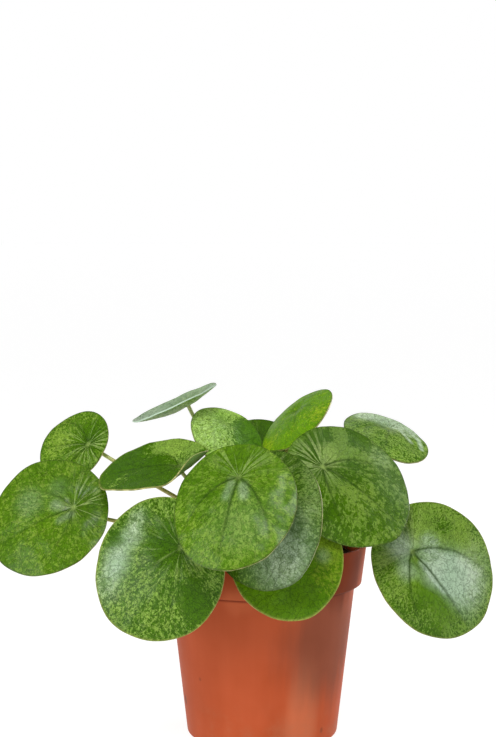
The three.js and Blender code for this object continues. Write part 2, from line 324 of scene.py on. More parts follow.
def soft_box(name, compass, height, distance, size, power):
    """A flat lamp so many mm away in the direction compass, height (degrees), facing the plant."""
    lamp = bpy.data.lights.new(name, "AREA")
    lamp.shape = "RECTANGLE"
    lamp.size, lamp.size_y = (side * MM for side in size)
    lamp.energy = power
    box = bpy.data.objects.new(name, lamp)
    a, e = math.radians(compass), math.radians(height)
    away = Vector((math.cos(e) * math.cos(a), math.cos(e) * math.sin(a), math.sin(e)))
    box.location = AIM + away * distance * MM
    box.rotation_euler = away.to_track_quat("Z", "Y").to_euler()
    scene.collection.objects.link(box)


soft_box("soft_box_left", compass=-152, height=15, distance=1000, size=(380, 500), power=2.8)
soft_box("soft_box_front", compass=-98, height=44, distance=1400, size=(400, 400), power=11)
soft_box("soft_box_right", compass=34, height=13, distance=1100, size=(400, 300), power=4)
soft_box("soft_box_top", compass=-110, height=80, distance=1100, size=(1300, 1000), power=2)
soft_box("soft_box_back", compass=85, height=32, distance=1200, size=(500, 500), power=1.2)

# %% [markdown]
# ## The pot
#
# The pot is a thin terracotta-coloured plastic cup with a wider band below its rim, a soft lower
# corner and eight drain holes. It could be a cylinder that is scaled and hollowed, but its wall
# is the same all round, so it is quicker and truer to draw the wall's section once and spin it.
# The sharp rings of that section are then rounded by a bevel, as a mould leaves them.

# %% Sizes of the pot
POT_HEIGHT = 111
RIM_RADIUS = 60
BAND_HEIGHT = 23
BAND_FOOT_RADIUS = 57
BODY_TOP_RADIUS = 53.3
BASE_RADIUS = 43
BASE_CORNER = 2.5
POT_WALL = 1.4
POT_FLOOR = 1.8
POT_STEPS = 144
RIM_ROUNDING = 0.5      # radius of the small roundings on the band and the rim
DRAIN_HOLES = 8
DRAIN_RADIUS = 4
DRAIN_RING = 29
BAND_FOOT = POT_HEIGHT - BAND_HEIGHT


def body_radius(height):
    """The pot's outside radius below its band."""
    return BASE_RADIUS + (BODY_TOP_RADIUS - BASE_RADIUS) * height / BAND_FOOT


# %% Spin the pot's wall
def spin_section(section, steps):
    """A closed body of revolution from (radius, height) pairs that start and end on the axis."""
    made = spun([Vector((radius, 0, height)) * MM for radius, height in section], steps, 1e-6)
    bmesh.ops.recalc_face_normals(made, faces=made.faces)
    return made


def sharp_rings(made, low, high, angle=25):
    """The edges between two heights at which the surface turns by more than angle degrees."""
    found = []
    for edge in made.edges:
        heights = [vert.co.z / MM for vert in edge.verts]
        level = abs(heights[0] - heights[1]) < 1e-3 and low <= heights[0] <= high
        if level and edge.calc_face_angle(0) > math.radians(angle):
            found.append(edge)
    return found


def round_rings(made, low, high, radius, segments):
    bmesh.ops.bevel(made, geom=sharp_rings(made, low, high), offset=radius * MM, affect="EDGES",
                    segments=segments, profile=0.5, material=-1, clamp_overlap=True)


step = BAND_FOOT_RADIUS - BODY_TOP_RADIUS
POT_SECTION = [
    (0, 0),
    (BASE_RADIUS, 0),
    (BODY_TOP_RADIUS, BAND_FOOT),
    (BAND_FOOT_RADIUS, BAND_FOOT),
    (RIM_RADIUS, POT_HEIGHT),
    (RIM_RADIUS - POT_WALL, POT_HEIGHT),
    (BAND_FOOT_RADIUS - POT_WALL, BAND_FOOT + step),
    (BODY_TOP_RADIUS - POT_WALL, BAND_FOOT),
    (body_radius(POT_FLOOR) - POT_WALL, POT_FLOOR),
    (0, POT_FLOOR),
]
pot_mesh = spin_section(POT_SECTION, POT_STEPS)
round_rings(pot_mesh, -0.1, 0.1, BASE_CORNER, 6)
round_rings(pot_mesh, BAND_FOOT - 0.1, POT_HEIGHT + 0.1, RIM_ROUNDING, 3)
print("pot wall:", len(pot_mesh.faces), "faces")

# %% [markdown]
# The plastic is an even orange brown with a satin gloss. Up close it has a fine grain, a little
# dust that gathers towards the base and a few specks of potting mix. Light and shade are painted
# on it as well: faint upright streaks of painted reflection, a right side painted lighter and a
# left side painted darker, a painted shadow of the leaf that hangs at the right of the front,
# painted shade on the band at the right and painted light low on the right and at the foot of the
# band.
# All of that is painted by nodes that read the place on the pot. The streaks are a noise that is
# read from a place squeezed in height, which draws it out upwards, and a patch is a stretched ball
# with a ragged edge. A thin dark line of painted shade lies in the corner under the band, where no
# light comes in.

# %% Finish of the pot
TERRACOTTA = paint("b35230")
TERRACOTTA_DEEP = paint("a64826")
POT_DUST = paint("a0674a")
PATCH_RAGGEDNESS = 0.6        # how far the noise eats into a patch
PATCH_EDGE = (1.5, 0.75)
PAINTED_LIGHT_AND_SPECKS = [              # where, one over half its width, depth and height in metres, share, colour
    # painted light: a paler patch low on the right
    ((0.023, -0.041, 0.010), (80, 80, 22), 0.4, paint("cf7c58")),
    # painted shadow of the leaf that hangs at the right of the front
    ((0.036, -0.033, 0.061), (30, 30, 25), 0.56, paint("523f34")),
    # painted shade on the band at the right
    ((0.050, -0.034, 0.099), (50, 50, 40), 0.8, paint("602408")),
    # painted light on the front, at the foot of the band
    ((-0.015, -0.057, 0.086), (80, 80, 110), 0.35, paint("d0704a")),
    # specks of potting mix, in this row and the next two
    ((-0.0438, -0.0125, 0.0215), (600, 600, 250), 0.9, paint("3a2a20")),
    ((-0.0350, -0.0320, 0.0385), (900, 900, 900), 0.3, paint("3a2a20")),
    ((0.0330, -0.0290, 0.0085), (700, 700, 500), 0.4, paint("3a2a20")),
]
MIX_SPECK = paint("33231a")
SPECKS_PER_METRE = 75
CREASE_PAINTED_SHADE = paint("4a1c10")
STREAK_SQUEEZE = 0.04
CREASE_SHADE_HEIGHT = 2.6     # how far the painted shade line reaches down from the band, in mm
DUST_HEIGHT = 0.035
REFLECTION_STREAK_DARK, REFLECTION_STREAK_LIGHT = (0.96, 0.95, 0.94, 1), (1.03, 1.05, 1.08, 1)
PAINTED_SHADED_SIDE, PAINTED_LIT_SIDE = (0.9, 0.92, 0.94, 1), (1.11, 1.15, 1.2, 1)


def terracotta_plastic():
    material, tree, shader = new_finish("terracotta_plastic", IOR=1.1, Coat_Weight=0.03,
                                        Coat_Roughness=0.12)
    place = object_place(tree)
    side, _, height = parts_of(tree, place)
    cloud = noise_of(tree, place, 18, detail=3)
    colour = two_tone(tree, cloud, 0.35, 0.7, TERRACOTTA, TERRACOTTA_DEEP)
    drawn = stretched(tree, place, (1, 1, STREAK_SQUEEZE))
    # painted reflection: faint upright streaks, lighter and darker
    reflection_streak = noise_of(tree, drawn, 60, detail=3, roughness=0.6)
    colour = tinted(tree, colour, two_tone(tree, reflection_streak, 0.3, 0.7, REFLECTION_STREAK_DARK, REFLECTION_STREAK_LIGHT))
    # painted light: the right side of the pot is painted lighter and the left side darker
    colour = tinted(tree, colour, two_tone(tree, side, -0.045, 0.04, PAINTED_SHADED_SIDE, PAINTED_LIT_SIDE))
    # painted shadow, painted shade and painted light in soft patches, and real specks of potting
    # mix
    for where, shape, strength, shade_light_and_speck_colour in PAINTED_LIGHT_AND_SPECKS:
        away = stretched(tree, vector_step(tree, "SUBTRACT", place, where), shape)
        ragged = arithmetic(tree, "MULTIPLY_ADD", noise_of(tree, drawn, 110, detail=4),
                            PATCH_RAGGEDNESS, vector_step(tree, "LENGTH", away))
        shade_light_and_speck_share = times(tree, soft_step(tree, ragged, *PATCH_EDGE), strength)
        colour = blend_colours(tree, shade_light_and_speck_share, colour, shade_light_and_speck_colour)

    # painted shade: a dark line in the corner under the band, where no light comes in
    crease_shade = soft_step(tree, height, (BAND_FOOT - CREASE_SHADE_HEIGHT) * MM, (BAND_FOOT - 1.2) * MM)
    below = soft_step(tree, height, BAND_FOOT * MM, (BAND_FOOT - 0.2) * MM)
    crease_shade = times(tree, times(tree, crease_shade, below), 0.6)
    colour = blend_colours(tree, crease_shade, colour, CREASE_PAINTED_SHADE)
    low_down = soft_step(tree, height, DUST_HEIGHT, 0.0)
    patchy = soft_step(tree, noise_of(tree, place, 60, detail=4, roughness=0.7), 0.45, 0.75)
    dust = times(tree, times(tree, low_down, patchy), 0.5)
    colour = blend_colours(tree, dust, colour, POT_DUST)
    cells = add_node(tree, "ShaderNodeTexVoronoi", {"Vector": place, "Scale": SPECKS_PER_METRE})
    speck = soft_step(tree, cells.outputs["Distance"], 0.075, 0.045)
    chosen = soft_step(tree, parts_of(tree, cells.outputs["Color"])["X"], 0.90, 0.92)
    colour = blend_colours(tree, times(tree, speck, chosen), colour, MIX_SPECK)

    worn = noise_of(tree, place, 240, detail=3)
    grain = noise_of(tree, place, 1500, detail=2)
    connect(tree, shader, Base_Color=colour, Normal=bump_of(tree, grain, 0.00005, 0.5),
            Roughness=arithmetic(tree, "MULTIPLY_ADD", worn, 0.16, 0.4))
    return material


# %% Pot piece with its drain holes
pot = finish_piece(pot_mesh, "nursery_pot", [terracotta_plastic()], ["pot"], sharp=35)


def drill(piece, cutter_mesh):
    """Cuts the closed bmesh out of the piece for good."""
    mesh = bpy.data.meshes.new("cutter")
    cutter_mesh.to_mesh(mesh)
    cutter_mesh.free()
    cutter = bpy.data.objects.new("cutter", mesh)
    scene.collection.objects.link(cutter)
    cut = piece.modifiers.new("drain_holes", "BOOLEAN")
    cut.object, cut.operation, cut.solver = cutter, "DIFFERENCE", "EXACT"
    evaluated = piece.evaluated_get(bpy.context.evaluated_depsgraph_get())
    holed = bpy.data.meshes.new_from_object(evaluated)
    piece.modifiers.clear()
    piece.data = holed
    bpy.data.objects.remove(cutter)


drills = bmesh.new()
for hole in range(DRAIN_HOLES):
    angle = FULL_TURN * (hole + 0.5) / DRAIN_HOLES
    centre = Vector((DRAIN_RING * math.cos(angle), DRAIN_RING * math.sin(angle), 0)) * MM
    bmesh.ops.create_cone(drills, cap_ends=True, segments=24, radius1=DRAIN_RADIUS * MM,
                          radius2=DRAIN_RADIUS * MM, depth=4 * POT_FLOOR * MM,
                          matrix=Matrix.Translation(centre))
drill(pot, drills)
print("pot:", triangles(pot), "triangles with", DRAIN_HOLES, "drain holes")

# %% [markdown]
# ## The potting mix
#
# The mix is a lumpy bed with crumbs and fibres on it. A noise alone would give a soft, sandy
# surface, because noise has no undersides. Real crumbs lie on each other and cast shadows, so
# the bed carries the broad lumps, and some two thousand small rough stones of twenty faces lie
# on it. On the right, where the photograph shows the mix close under the rim, they are heaped up
# against the wall. The draw of their places is seeded, so that the scene is the same each time.

# %% The bed
SOIL_TOP = 99
SOIL_CROWN = 2          # how much higher it stands round the stem
CROWN_SPREAD = 800      # in square mm
LUMP_HEIGHT = 0.5
FINE_LUMP_HEIGHT = 0.45
SOIL_GAP = 0.35
SOIL_STEPS = 120
SOIL_RINGS = 50
SOIL_CORNER = (2.4, 3)  # how far in and up it leaves the pot's rounded lower corner
BAND_TAPER = (RIM_RADIUS - BAND_FOOT_RADIUS) / BAND_HEIGHT
SOIL_EDGE = BAND_FOOT_RADIUS + BAND_TAPER * (SOIL_TOP - BAND_FOOT) - POT_WALL - SOIL_GAP


def soil_height(x, y):
    """How high the lumpy top of the mix stands at a place, in mm."""
    lumps = math.sin(x * 0.31 + 1) * math.cos(y * 0.27) + 0.6 * math.sin(x * 0.17 - y * 0.4 + 2)
    mound = SOIL_CROWN * math.exp(-(x * x + y * y) / CROWN_SPREAD)
    return SOIL_TOP + mound + LUMP_HEIGHT * lumps


def make_soil_bed(finish):
    inset = POT_WALL + SOIL_GAP
    corner_in, corner_up = SOIL_CORNER
    section = [
        (0, POT_FLOOR + SOIL_GAP),
        (body_radius(POT_FLOOR) - inset - corner_in, POT_FLOOR + SOIL_GAP),
        (body_radius(POT_FLOOR + corner_up) - inset, POT_FLOOR + corner_up),
        (BODY_TOP_RADIUS - inset, BAND_FOOT + SOIL_GAP),
        (BAND_FOOT_RADIUS - inset, BAND_FOOT + step + SOIL_GAP),
        (SOIL_EDGE - 0.3, SOIL_TOP - 1),
    ]
    section += [((SOIL_EDGE - 1) * (1 - ring / SOIL_RINGS), SOIL_TOP)
                for ring in range(SOIL_RINGS + 1)]
    bed = spin_section(section, SOIL_STEPS)
    for vert in bed.verts:
        x, y, z = vert.co / MM
        if abs(z - SOIL_TOP) < 0.01:
            rough = noise.fractal(Vector((x, y, 0)) * 0.45, 1.0, 2.0, 4)
            vert.co.z = (soil_height(x, y) + FINE_LUMP_HEIGHT * rough - 0.3) * MM
    return finish_piece(bed, "potting_mix", [finish], ["soil"], sharp=80)


# %% [markdown]
# Wet peat is nearly black, and dry crumbs are a warm brown. The finish mixes the two by a noise,
# and the crumbs get the same finish, so that they belong to the bed.

# %% Finishes of the mix
def potting_mix(name, dark, light, scale):
    material, tree, shader = new_finish(name, Roughness=0.95, Specular_IOR_Level=0.25)
    place = object_place(tree)
    clod = noise_of(tree, place, scale, detail=5, roughness=0.7)
    grit = noise_of(tree, place, scale * 6, detail=4, roughness=0.7)
    connect(tree, shader, Base_Color=two_tone(tree, clod, 0.38, 0.68, dark, light),
            Normal=bump_of(tree, grit, 0.0006, 0.8))
    return material


PEAT = potting_mix("peat", paint("241810"), paint("654831"), 320)
BARK_BITS = potting_mix("bark_bits", paint("4a3220"), paint("a07a52"), 500)
soil_bed = make_soil_bed(PEAT)
print("soil bed:", triangles(soil_bed), "triangles")

# %% Crumbs and fibres
STEM_KEEP_OUT = 6       # mm round the middle that stay free for the stem
HEAP = (43, 27)         # where the mix is heaped up against the wall
HEAP_HEIGHT = 8
HEAP_RADIUS = 12
HEAP_SPREAD = 0.28      # along the wall, in radians
HEAP_DEPTH = 6          # away from the wall
STONE_ROUGHNESS = 0.18  # as a share of a stone's radius
STONE_LIFT = 0.25       # how far its middle stands over the bed, as a share of its radius
STONE_INSET = 1.6       # how far it stays from the edge of the bed


def scatter(name, finish, count, heaped, sizes, stretch, seed):
    """Small rough stones of few faces: some all over the bed, and some more in the heap."""
    draw = random.Random(seed)
    grains = bmesh.new()
    for number in range(count + heaped):
        radius = draw.uniform(*sizes)
        edge = SOIL_EDGE - STONE_INSET - radius
        far = math.sqrt(draw.uniform(STEM_KEEP_OUT ** 2, edge ** 2))
        angle = draw.uniform(0, FULL_TURN)
        if number >= count:
            far = edge - abs(draw.gauss(0, HEAP_DEPTH))
            angle = math.atan2(HEAP[1], HEAP[0]) + draw.gauss(0, HEAP_SPREAD)
        x, y = far * math.cos(angle), far * math.sin(angle)
        heap = HEAP_HEIGHT * math.exp(-((x - HEAP[0]) ** 2 + (y - HEAP[1]) ** 2) / HEAP_RADIUS ** 2)
        turn = Matrix.Rotation(draw.uniform(0, FULL_TURN), 4, "Z")
        turn @= Matrix.Rotation(draw.uniform(-0.5, 0.5), 4, "X")
        shape = Matrix.Diagonal((radius * stretch, radius, radius * draw.uniform(0.5, 0.9), 1))
        z = soil_height(x, y) + STONE_LIFT * radius + heap * draw.random()
        place = Matrix.Translation(Vector((x, y, z)) * MM)
        grain = bmesh.ops.create_icosphere(grains, subdivisions=1, radius=MM,
                                           matrix=place @ turn @ shape)
        for vert in grain["verts"]:
            vert.co += Vector([draw.uniform(-STONE_ROUGHNESS, STONE_ROUGHNESS) * radius * MM
                               for _ in range(3)])
    return finish_piece(grains, name, [finish], sharp=20)


crumbs = scatter("peat_crumbs", PEAT, 1500, 420, (0.4, 1.7), 1.2, seed=4)
bits = scatter("bark_bits", BARK_BITS, 260, 110, (0.35, 0.9), 2.2, seed=9)
print("crumbs:", triangles(crumbs), "and bits:", triangles(bits), "triangles")

# %% [markdown]
# ## The leaf table
#
# All the leaves have one build: a nearly round blade on a long stalk that joins it from below,
# a little way in from its edge. What differs is written in one table, in millimetres and
# degrees, the same as in the CAD source, so each fine blade lies exactly where its node lies:
#
# - hub is where the stalk meets the blade,
# - face is the compass angle and the height above the horizon of the way its upper side looks,
# - turn swings its tip away from straight downhill,
# - size is its length and width, arch how far it domes across and along,
# - curl rolls part of it about a line: the side in degrees from the tip, the distance of the
#   line from the hub, and the radius, upwards where it is positive,
# - foot, rise, drop, leave, reach and sway steer the stalk.
#
# The rest is the leaf's own pattern: cover is how much of it is pale, contrast how strongly the
# flecks stand out, youth how yellow a young leaf is, veins how far its veins swing from the
# tip and ridges how deep they are, grain how coarse the flecks are and tone how light the leaf
# is, rays how far the pattern streaks out from the hub, crown how clearly the hub shows and rim
# how pale the margin is. Patches are places across and along from the hub with a radius and a
# change in cover, or strokes from one place to another. Calm lists such places where the flecks
# are faint, and painted sheen lists those where a silvery sheen is painted on the skin, as a
# painted highlight. The main veins part the leaf into four panels, and cover and painted sheen
# can change from panel to panel too. Bud marks a tiny leaf at the crown. What a row doesn't name,
# it takes from the plain leaf that stands before the table.

# %% The leaves
PLAIN_LEAF = dict(veins=0, ridges=0.7, rays=7, crown=1, tone=1, grain=1, youth=0, rim=0, patches=[],
                  calm=[], painted_sheen=[], sway=(0, 0, 0), bud=False, cover_by_panel=(0, 0, 0, 0),
                  painted_sheen_by_panel=(0, 0, 0, 0), turn=0, arch=(0.1, 0.1))
LEAVES = [
    dict(hub=(-108, -4, 131), face=(-110, 30), turn=-65, size=(75, 72), arch=(0.05, 0.18), foot=104,
         rise=14, drop=20, youth=0.2, cover=0.44, contrast=0.5, veins=-6,
         patches=[(14, 4, 8, -0.1)], painted_sheen=[(12, 24, 9, 0.22), (14, 6, 6, 0.15), (4, 9, 3.5, 0.4),
         (-4, 2, -6, 9, 2.2, 0.3)], tone=0.95),
    dict(hub=(-103, 40, 162), face=(-128, 33), turn=-80, size=(51, 48), arch=(0.12, 0.08), foot=113,
         rise=14, drop=10, cover=0.44, contrast=0.8, youth=0.2, rays=14, tone=1.14,
         patches=[(3, 22, 10, 0.12), (6, -2, 11, -0.15)]),
    dict(hub=(-47, -12, 156), face=(-127, 68), turn=-65, size=(67, 62), arch=(-0.05, 0.08),
         curl=(200, 6, 7), foot=126, rise=10, drop=12, cover=0.26, contrast=0.9, tone=1.34,
         crown=0.4, rim=0.5, patches=[(18, 8, 14, 0.36), (26, 14, 8, 0.2), (20, -6, 9, 0.3),
         (9, 12, 5, -0.2), (-8, 30, 6, 0.12), (-16, 36, 8, 0.16), (-2, -6, 9, 0.25)]),
    dict(hub=(-44, 46, 185), face=(180, 66), turn=60, size=(55, 55), arch=(-0.2, -0.2), foot=134,
         rise=18, drop=24, cover=0.5, contrast=0.2, painted_sheen=[(0, 14, 40, 1), (0, 3, 13, -0.7)],
         tone=1.08),
    dict(hub=(-22, 36, 175), face=(-56, 47), turn=-20, size=(49, 46), arch=(0.08, 0.12), foot=138,
         rise=18, drop=18, cover=0.6, contrast=1, patches=[(-17, 6, 12, -0.6), (-17, 24, 12, -0.6)],
         ridges=0.2, crown=0.1, tone=2, painted_sheen=[(9, 11, 18, 0.22)]),
    dict(hub=(-2, 50, 164), face=(-88, 45), size=(60, 54), foot=112, rise=4, drop=28, leave=78,
         reach=34, cover=0.26, contrast=0.8, crown=0.15, tone=1.2),
    dict(hub=(21, 32, 183), face=(-157, 48), turn=57, size=(55, 52), foot=140, rise=16, drop=10,
         cover=0.36, contrast=0.8, youth=0.8, ridges=0.4, crown=0.1, tone=1.26,
         patches=[(-16, 22, 8, 0.15), (21, 22, 9, 0.14)]),
    dict(hub=(33, -38, 159), face=(-56, 40), turn=45, size=(79, 79), arch=(0.05, 0.15),
         curl=(90, 12, -35), foot=129, rise=12, drop=14, cover=0.47, contrast=0.65, veins=5,
         ridges=1, grain=1.5, rays=10, crown=1.25, tone=1.03, cover_by_panel=(0.12, -0.01, 0.03, 0),
         patches=[(-12, 3, 9, 0.2), (-7, 13, 7, -0.12), (7, 8, 9, 22, 6, 0.08), (-29, 2, 6, 0.15),
         (-22, 17, 6, 0.12), (-31, 11, 8, -0.3), (-19, -7, 7, -0.3), (30, 10, 12, -0.06)],
         painted_sheen=[(-29, 27, 8, 0.3), (-18, 40, 14, 0.12), (-20, 4, 16, 0.1)]),
    dict(hub=(-13, -92, 161), face=(-115, 28), size=(71, 70), arch=(0.15, 0.08), foot=121, rise=18,
         drop=8, leave=-150, reach=52, sway=(-30, 12, -4), youth=0.14, cover=0.44, contrast=0.45,
         veins=2, ridges=1.2, rays=6, crown=0.5, patches=[(0, 32, 16, 0.06), (0, -12, 12, -0.1)],
         painted_sheen=[(-8, 26, 16, 0.1), (3, 4, 4, 12, 2.2, 0.35), (-4, 5, -6, 10, 3, 0.4)]),
    dict(hub=(1, -74, 153), face=(-118, 14), turn=8, size=(76, 69), arch=(0.05, 0.2), foot=124,
         rise=24, drop=14, cover=0.42, contrast=0.7, ridges=0.6, tone=0.9,
         patches=[(26, 34, 9, -0.2), (-28, -10, -30, 14, 8, 0.12)], painted_sheen=[(-15, 25, 16, 0.5),
         (-10, 42, 16, 0.8), (-28, -14, -31, 12, 7, 0.15)]),
    dict(hub=(11, -56, 126), face=(-80, 24), turn=2, size=(68, 64), foot=108, rise=16, drop=12,
         cover=0.3, contrast=0.45, youth=0.45, rim=1, painted_sheen=[(-20, 15, 4, 0.35)],
         patches=[(-26, 6, 12, 0.35), (-22, 26, 10, 0.2), (5, 36, 14, -0.2)]),
    dict(hub=(-44, -71, 120), face=(-115, 18), turn=-46, size=(78, 80), arch=(0.15, 0.1), foot=103,
         rise=16, drop=14, cover=0.47, contrast=0.95, veins=2, rays=20, ridges=0.5, crown=0.6,
         tone=1.07, rim=0.6, patches=[(-31, 12, 8, -0.3), (-22, 8, 6, -0.2), (6, 5, 14, -0.24),
         (29, 28, 5, -0.25)], calm=[(18, 34, 10, 0.6), (24, 20, 8, 0.4)], painted_sheen=[(19, 34, 9, 0.9),
         (12, 46, 9, 0.6), (24, 19, 7, 0.7), (30, 11, 6, 0.6)]),
    dict(hub=(84, -22, 109), face=(-62, 16), turn=50, size=(84, 76), arch=(0.05, 0.2), foot=104,
         rise=26, drop=10, cover=0.5, contrast=0.76, veins=16, ridges=1.2, crown=0.6, tone=1.1,
         rim=0.5, grain=0.85, cover_by_panel=(0.18, 0, 0.08, 0.05),
         painted_sheen_by_panel=(0, 0.3, -0.15, 0), patches=[(-23, 8, 6, -0.2), (24, 18, 9, -0.12),
         (31, 34, 6, -0.15)], calm=[(14, 18, 11, 0.6), (20, 34, 9, 0.5), (-2, 28, 17, 0.6),
         (6, -2, 10, 0.6)], painted_sheen=[(-2, 22, 12, 1.1), (-2, 38, 14, 0.9), (-17, 38, 13, 0.3),
         (-9, 6, 6, 0.9), (1, -8, 8, 0.9), (12, 2, 6, 0.6), (2.9, 8, 8, 27, 2.4, 0.7),
         (7, 14, 8, 0.35)]),
    dict(hub=(76, 50, 170), face=(-46, 63), turn=-50, size=(57, 54), arch=(0.1, 0.05), foot=115,
         rise=22, drop=16, cover=0.5, contrast=0.85, tone=1.42, painted_sheen=[(-12, -12, 16, -10, 10, 2),
         (-12, -6, -19, 1, 1.5, 1.5), (-19, 1, -22, 12, 1.5, 1.5), (-8, 0, -15, 10, 1.3, 1.1),
         (-3, -4, -14, 2, 1.2, 0.8)]),
    dict(hub=(42, 64, 162), face=(-60, 55), size=(38, 38), foot=119, rise=12, drop=20, cover=0.4,
         contrast=0.6),
    dict(hub=(-8, 78, 163), face=(92, 50), turn=10, size=(56, 54), arch=(0.1, 0.12), foot=116,
         rise=6, drop=14, leave=96, reach=30, cover=0.47, contrast=0.8,
         patches=[(12, 20, 12, 34, 7, -0.2)]),
    dict(hub=(-31, 80, 121), face=(116, 30), turn=-5, size=(64, 60), arch=(0.1, 0.12), foot=107.5,
         rise=20, drop=10, cover=0.44, contrast=0.7, patches=[(-14, 20, -8, 38, 8, 0.15)]),
    dict(hub=(30, 86, 130), face=(64, 28), turn=10, size=(66, 62), arch=(0.1, 0.12), foot=107,
         rise=20, drop=12, cover=0.48, contrast=0.9, patches=[(14, 6, 20, 26, 8, -0.22)]),
    dict(hub=(70, 44, 129), face=(30, 32), turn=-10, size=(60, 54), arch=(0.1, 0.12), foot=111,
         rise=20, drop=12, cover=0.44, contrast=0.7, patches=[(-12, 6, -10, 24, 6, 0.15)]),
    dict(hub=(-60, 60, 104), face=(138, 15), size=(66, 64), arch=(0.1, 0.12), foot=103, rise=36,
         drop=8, cover=0.48, contrast=0.9, patches=[(-14, 14, -6, 38, 7, -0.2)]),
    dict(hub=(0, 100, 92), face=(92, 12), size=(62, 60), arch=(0.1, 0.12), foot=103, rise=20,
         drop=6, leave=92, reach=40, sway=(0, -10, 28), cover=0.46, contrast=0.7,
         patches=[(8, 16, 14, 36, 7, 0.15)]),
    dict(hub=(-10, -2, 148), face=(-150, 60), size=(20, 18), foot=142, rise=3, drop=4, bud=True,
         cover=0.3, contrast=0.4, youth=1),
    dict(hub=(7, -1, 153), face=(-20, 50), size=(17, 15), foot=141, rise=4, drop=4, bud=True,
         cover=0.3, contrast=0.4, youth=1),
    dict(hub=(0, 12, 149), face=(90, 40), size=(13, 11), foot=143, rise=2, drop=4, bud=True,
         cover=0.3, contrast=0.4, youth=1),
]
LEAVES = [{**PLAIN_LEAF, **leaf} for leaf in LEAVES]
print("leaves:", len(LEAVES))

# %% [markdown]
# ## A blade's shape
#
# A blade is a thin, slightly egg-shaped disc. Its hub is dimpled, three main veins run from it
# towards the tip in shallow grooves with the skin puffed up between them, fine ribs fan out on
# its short side, and the margin is never quite flat. Sculpting 24 of them by hand would never
# match the CAD, so the shape is a formula over a disc: the same formula as in the CAD source
# for the broad form, plus the relief that only shows up close.

# %% Directions of a leaf
HUB_SHARE = 0.27        # how far along the blade its stalk joins it
EGG = 0.04              # how much the blade narrows towards its tip
DIMPLE_DEPTH = 1.5
DIMPLE_SHARE = 0.1      # the dimple's radius as a share of the blade's width


def leaf_axes(leaf):
    """Across the blade, along it to the tip, and out of its upper side."""
    compass, height = (math.radians(angle) for angle in leaf["face"])
    turn = math.radians(leaf["turn"])
    level_x, level_y = math.cos(compass), math.sin(compass)
    out = Vector((math.cos(height) * level_x, math.cos(height) * level_y, math.sin(height)))
    downhill = Vector((math.sin(height) * level_x, math.sin(height) * level_y, -math.cos(height)))
    along = downhill * math.cos(turn) + out.cross(downhill) * math.sin(turn)
    return along.cross(out), along, out


# %% Veins and ribs
VEIN_START = 68         # degrees from the tip at which the two side veins leave the hub
VEIN_CLOSING = 34       # how far they have swung in by the margin
GROOVE_WIDTH = 0.9
GROOVE_DEPTH = 0.16
PUFF = 0.7              # how high the skin stands between the main veins
RIB_COUNT = 26
RIB_HEIGHT = 0.08
PANEL_BLUR = 0.7        # mm to either side of a vein over which one panel turns into the next
SHORT_SIDE_FROM = 95    # degrees from the tip
SHORT_SIDE_BLUR = 40    # degrees in which it has fully begun
PUFF_WIDTH = 7          # how far from a vein the puffed skin has its full height
HUB_FADE = 4            # mm round the hub in which the relief and the panels fade in
HUB_RAYS = 0.8          # how clear the rays are at the hub
UNEVEN_HEIGHT = 0.5
UNEVEN_PER_MM = 0.1     # how fine the uneven places are, and the smaller ones on them
UNEVEN_FINE_PER_MM = 0.27
NOISE_APART = 40        # mm between one leaf and the next in that noise


def vein_distance(leaf, share, bearing, far):
    """How far a place is from the nearest main vein, in mm along the circle round the hub."""
    swing = VEIN_START - VEIN_CLOSING * share
    gaps = []
    for vein in (0, swing, -swing):
        apart = math.degrees(bearing) - leaf["veins"] - vein
        apart = (apart + 180) % 360 - 180
        gaps.append(abs(math.radians(apart)) * far)
    return min(gaps)


def short_side(bearing):
    """0 on the tip's side of the hub and 1 on its short side, where the fine ribs are."""
    back = abs(math.degrees(bearing))
    return min(max((back - SHORT_SIDE_FROM) / SHORT_SIDE_BLUR, 0), 1)


def streaks(leaf, share, bearing, far):
    """How much the pattern is drawn out into rays: on the short side and close round the hub."""
    near = HUB_RAYS * math.exp(-(far / leaf["rays"]) ** 2)
    return max(short_side(bearing) * (1 - share ** 4), near)


def in_panel(leaf, key, share, bearing, far):
    """The leaf's own value for the panel that a place lies in. The main veins part four panels."""
    values = leaf[key]
    swing = VEIN_START - VEIN_CLOSING * share
    apart = (math.degrees(bearing) - leaf["veins"] + 180) % 360 - 180
    total = values[0]
    for vein, before, after in zip((-swing, 0, swing), values, values[1:]):
        past = math.radians(apart - vein) * far / PANEL_BLUR
        total += (after - before) * min(max(0.5 + 0.5 * past, 0), 1)
    return total * (1 - short_side(bearing)) * min(1, far / HUB_FADE) * (1 - share ** 3)


# %% The blade's surface
MARGIN_WAVE = 0.32
OUTLINE_WAVE = 0.005
OUTLINE_INSET = 0.983   # keeps the wavy outline inside the CAD's


def blade_place(leaf, number, share, angle):
    """(x, y, z) of the middle layer with its relief, and its flat place, in mm from the hub."""
    length, width = leaf["size"]
    middle = length * (0.5 - HUB_SHARE)
    reach = share * (OUTLINE_INSET + OUTLINE_WAVE * share
                     * (math.sin(5 * angle + number) + 0.6 * math.sin(9 * angle + 2 * number)))
    x = reach * (width / 2) * math.cos(angle) * (1 - EGG * math.sin(angle))
    y = reach * (middle + (length / 2) * math.sin(angle))
    flat = Vector((x, y))
    arch_across, arch_along = leaf["arch"]
    z = (arch_along * middle ** 2 - arch_along * (y - middle) ** 2) / (length / 2)
    z -= arch_across * x * x / (width / 2)
    z += DIMPLE_DEPTH * (1 - math.exp(-(x * x + y * y) / (DIMPLE_SHARE * width) ** 2))
    z += relief(leaf, number, share, angle, flat)
    if "curl" in leaf:
        side, start, radius = leaf["curl"]
        dx, dy = math.sin(math.radians(side)), math.cos(math.radians(side))
        beyond = max(0, x * dx + y * dy - start)
        roll = beyond / abs(radius)
        shift = abs(radius) * math.sin(roll) - beyond
        x, y, z = x + dx * shift, y + dy * shift, z + radius * (1 - math.cos(roll))
    return Vector((x, y, z)), flat


